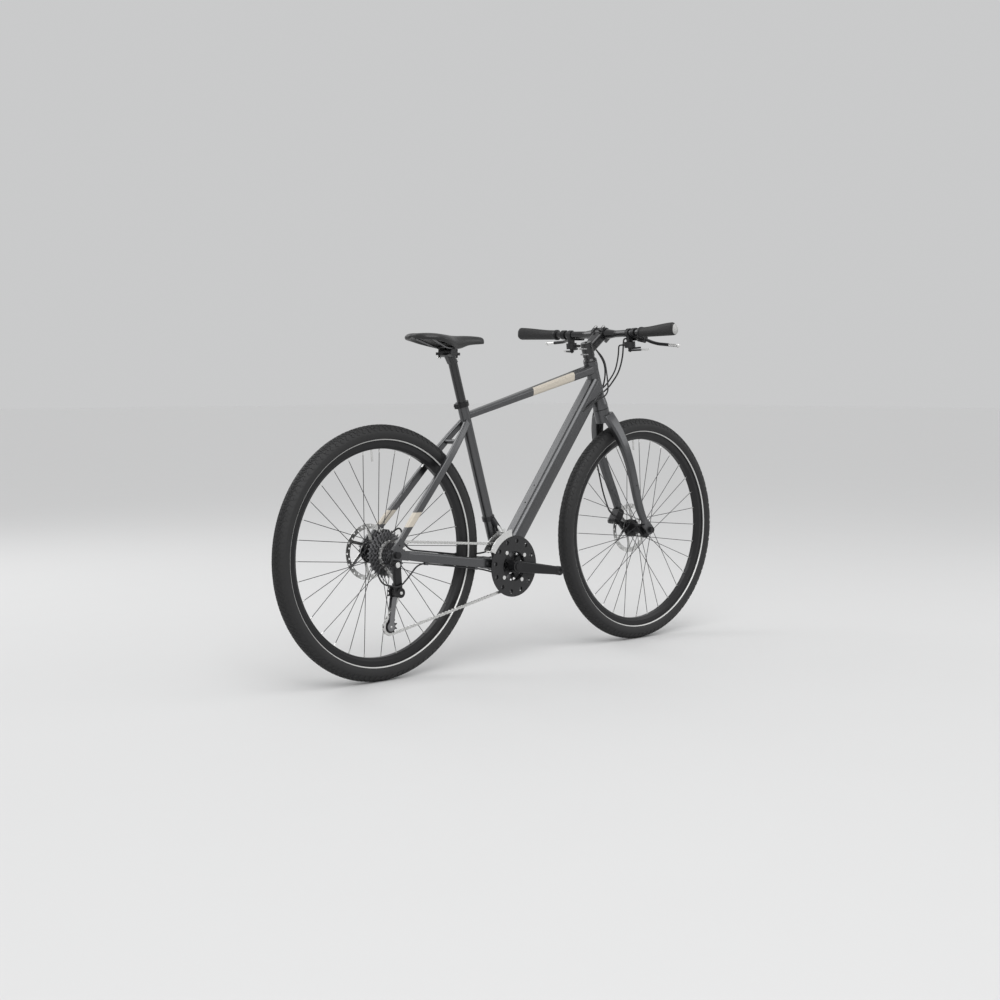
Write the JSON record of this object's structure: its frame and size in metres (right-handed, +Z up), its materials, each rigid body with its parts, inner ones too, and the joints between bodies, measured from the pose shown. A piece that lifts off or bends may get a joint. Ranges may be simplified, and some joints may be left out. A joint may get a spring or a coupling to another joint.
{
  "type": "hybrid bike",
  "caption": "Rigid hybrid bike with a straight-tube frame, disc brakes, chain drive with derailleurs, swept flat bar with winged grips and a padded saddle, for riding on roads and tracks.",
  "frame": {"origin": "on the ground, midway between the two axles, in the middle plane of the frame", "axes": "+X forward along the bike, +Y to the rider's left, +Z up"},
  "size_m": [1.81, 0.6766, 1.0231],
  "materials": {
    "frame_paint": "satin graphite paint",
    "black_alloy": "black anodised",
    "steel": "bright",
    "cage_metal": "satin",
    "black_plastic": "satin",
    "tyre_rubber": "matt",
    "soft_rubber": "matt",
    "saddle_cover": "satin"
  },
  "bodies": {
    "frame": {"head_tube": "frame_paint", "top_tube": "frame_paint", "down_tube": "frame_paint", "seat_tube": "frame_paint", "bottom_bracket_shell": "frame_paint", "chain_stays": "frame_paint", "seat_stays": "frame_paint", "dropouts": "frame_paint", "seat_clamp": "black_alloy", "headset_bearings": "steel", "bottom_bracket_cups": "steel", "front_derailleur": "cage_metal", "rear_derailleur": "black_alloy", "chain": "steel", "rear_brake_caliper": "black_alloy", "rear_axle": "steel", "frame_cables": "black_plastic"},
    "steering": {"fork": "frame_paint", "headset_stack": "black_alloy", "stem": "black_alloy", "stem_faceplate": "black_alloy", "handlebar": "black_alloy", "left_grip": "soft_rubber", "right_grip": "soft_rubber", "left_brake_control": "black_alloy", "right_brake_control": "black_alloy", "left_shifter": "black_plastic", "right_shifter": "black_plastic", "front_brake_caliper": "black_alloy", "front_axle": "steel", "front_brake_hose": "black_plastic"},
    "right_brake": {"right_brake_lever": "black_alloy"},
    "left_brake": {"left_brake_lever": "black_alloy"},
    "right_thumb": {"right_thumb_lever": "black_plastic"},
    "left_thumb": {"left_thumb_lever": "black_plastic"},
    "right_release": {"right_release_lever": "black_plastic"},
    "left_release": {"left_release_lever": "black_plastic"},
    "front_wheel": {"front_tyre": "tyre_rubber", "front_inner_tube": "soft_rubber", "front_rim": "black_alloy", "front_spokes": "steel", "front_hub": "black_alloy", "front_brake_rotor": "steel"},
    "rear_wheel": {"rear_tyre": "tyre_rubber", "rear_inner_tube": "soft_rubber", "rear_rim": "black_alloy", "rear_spokes": "steel", "rear_hub": "black_alloy", "rear_brake_rotor": "steel"},
    "sprockets": {"cassette": "steel"},
    "crankset": {"right_crank": "black_alloy", "left_crank": "black_alloy", "chainrings": "steel", "chain_guard": "black_plastic", "chainring_bolts": "steel"},
    "upper_pulley": {"guide_pulley": "black_plastic"},
    "lower_pulley": {"tension_pulley": "black_plastic"},
    "seat": {"seatpost": "black_alloy", "saddle_rails": "steel", "saddle": "saddle_cover"}
  },
  "joints": [
    {"name": "steering", "type": "hinge", "parent": "frame", "child": "steering", "pos_m": [0.49555, 0, 0.362], "axis": [-0.3173, 0, 0.9483], "range_deg": [-70, 70], "deforming": ["frame_cables"]},
    {"name": "front_wheel_spin", "type": "hinge", "parent": "steering", "child": "front_wheel", "pos_m": [0.543, 0, 0.362], "axis": [0, 1, 0], "continuous": true},
    {"name": "rear_wheel_spin", "type": "hinge", "parent": "frame", "child": "rear_wheel", "pos_m": [-0.543, 0, 0.362], "axis": [0, 1, 0], "continuous": true},
    {"name": "crank_spin", "type": "hinge", "parent": "frame", "child": "crankset", "pos_m": [-0.07708, 0, 0.293], "axis": [0, 1, 0], "continuous": true, "deforming": ["chain"]},
    {"name": "cassette_spin", "type": "hinge", "parent": "frame", "child": "sprockets", "pos_m": [-0.543, 0, 0.362], "axis": [0, 1, 0], "continuous": true},
    {"name": "guide_pulley_spin", "type": "hinge", "parent": "frame", "child": "upper_pulley", "pos_m": [-0.53, -0.046, 0.256], "axis": [0, 1, 0], "continuous": true},
    {"name": "tension_pulley_spin", "type": "hinge", "parent": "frame", "child": "lower_pulley", "pos_m": [-0.545, -0.046, 0.16], "axis": [0, 1, 0], "continuous": true},
    {"name": "seat_height", "type": "slide", "parent": "frame", "child": "seat", "axis": [-0.2924, 0, 0.9563], "range_m": [-0.09, 0.11]},
    {"name": "right_brake_pull", "type": "hinge", "parent": "steering", "child": "right_brake", "pos_m": [0.38074, -0.168, 0.97446], "axis": [-0.5592, 0, -0.829], "range_deg": [0, 18], "stiffness_Nm_per_rad": 1.2, "springref_deg": -2.86},
    {"name": "right_thumb_push", "type": "hinge", "parent": "steering", "child": "right_thumb", "pos_m": [0.36108, -0.126, 0.9442], "axis": [-0.1045, 0, 0.9945], "range_deg": [0, 25], "stiffness_Nm_per_rad": 0.4, "springref_deg": -2.86},
    {"name": "right_release_push", "type": "hinge", "parent": "steering", "child": "right_release", "pos_m": [0.36108, -0.126, 0.9442], "axis": [-0.1045, 0, 0.9945], "range_deg": [0, 15], "stiffness_Nm_per_rad": 0.4, "springref_deg": -2.86},
    {"name": "left_brake_pull", "type": "hinge", "parent": "steering", "child": "left_brake", "pos_m": [0.38472, 0.168, 0.98228], "axis": [0.342, 0, 0.9397], "range_deg": [0, 18], "stiffness_Nm_per_rad": 1.2, "springref_deg": -2.86},
    {"name": "left_thumb_push", "type": "hinge", "parent": "steering", "child": "left_thumb", "pos_m": [0.36108, 0.126, 0.9442], "axis": [0.1045, 0, -0.9945], "range_deg": [0, 25], "stiffness_Nm_per_rad": 0.4, "springref_deg": -2.86},
    {"name": "left_release_push", "type": "hinge", "parent": "steering", "child": "left_release", "pos_m": [0.36108, 0.126, 0.9442], "axis": [0.1045, 0, -0.9945], "range_deg": [0, 15], "stiffness_Nm_per_rad": 0.4, "springref_deg": -2.86}
  ],
  "couplings": [
    {"joint": "cassette_spin", "follows": "crank_spin", "ratio": 1.7778},
    {"joint": "guide_pulley_spin", "follows": "crank_spin", "ratio": -2.9091},
    {"joint": "tension_pulley_spin", "follows": "crank_spin", "ratio": 2.9091}
  ]
}
